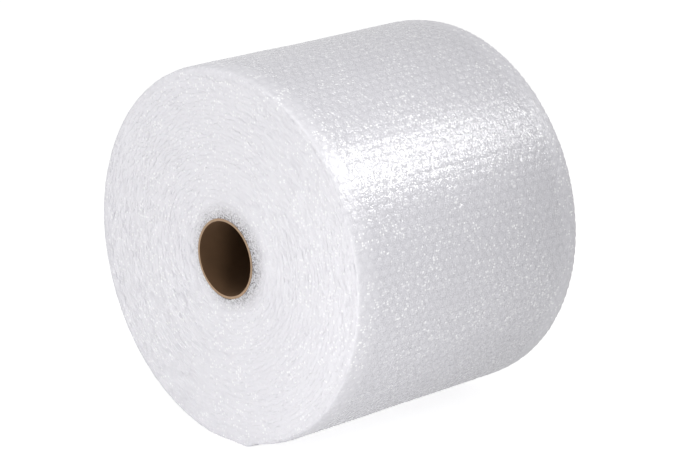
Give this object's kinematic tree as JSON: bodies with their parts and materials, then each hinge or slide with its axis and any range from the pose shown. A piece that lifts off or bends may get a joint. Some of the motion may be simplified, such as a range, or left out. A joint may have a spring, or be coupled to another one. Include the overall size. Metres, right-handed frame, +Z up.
{
  "type": "bubble cushioning film roll",
  "caption": "Air-bubble cushioning film wound tightly on a cardboard tube, lying on its side: a soft-rimmed white drum with rows of small bubbles outside and an open core.",
  "frame": {"origin": "On the floor, under the middle of the whole roll; the roll rests on Z = 0 on a small pressed flat.", "axes": "+Y runs along the roll's axis, away from the end seen first; +Z is up; +X is the side of the roll that is seen first."},
  "size_m": [0.3852, 0.305, 0.3858],
  "materials": {
    "tube_board": "plain brown paperboard, spirally wound, matt",
    "bubble_film": "clear polyethylene bubble film that looks white in many layers, glossy"
  },
  "bodies": {
    "root": {"core_tube": "tube_board", "bubble_web": "bubble_film"}
  },
  "joints": []
}
